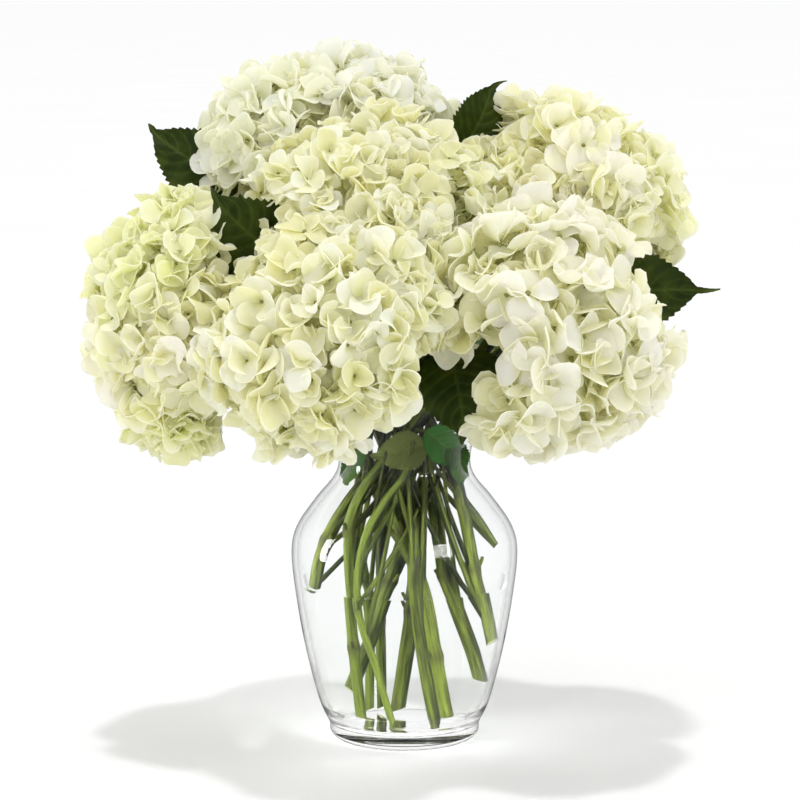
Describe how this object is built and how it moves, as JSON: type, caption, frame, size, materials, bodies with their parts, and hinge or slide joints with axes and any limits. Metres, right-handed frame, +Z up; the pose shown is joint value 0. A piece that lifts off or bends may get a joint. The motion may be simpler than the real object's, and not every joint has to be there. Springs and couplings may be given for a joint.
{
  "type": "hydrangeas in a vase",
  "caption": "Cut white hydrangeas with toothed green leaves, standing in water in a clear glass vase with a round belly, drawn-in neck and flared lip.",
  "frame": {"origin": "centre of the vase's flat foot, on the surface it stands on", "axes": "+Z up along the vase's axis, the front of the bunch towards -Y, its right side towards +X"},
  "size_m": [0.3569, 0.3001, 0.3934],
  "materials": {
    "glass": "clear, fire-polished",
    "water": "clear water, stated as the plastic whose density is nearest",
    "petal_ivory": "soft, matte, slightly translucent ivory petals",
    "petal_white": "soft, matte, slightly translucent white petals",
    "petal_lime": "soft, matte, slightly translucent petals, white with a lime tinge",
    "stem_green": "fresh green stem, faintly ribbed and speckled",
    "leaf_green": "dark green stem and leaf, satin, veined"
  },
  "bodies": {
    "root": {"vase": "glass", "water": "water", "stem_front_right": "stem_green", "stem_back": "stem_green", "stem_left": "stem_green", "stem_top_left": "stem_green", "stem_top_right": "stem_green", "stem_front_left": "stem_green", "stem_centre": "stem_green", "leaf_stem_below": "leaf_green", "leaf_stem_neck": "leaf_green", "leaf_stem_left": "leaf_green", "leaf_stem_top": "leaf_green", "leaf_stem_right": "leaf_green", "bloom_front_left": "petal_ivory", "bloom_front_right": "petal_white", "bloom_centre": "petal_ivory", "bloom_top_left": "petal_ivory", "bloom_top_right": "petal_lime", "bloom_left": "petal_lime", "bloom_back": "petal_ivory"}
  },
  "joints": []
}
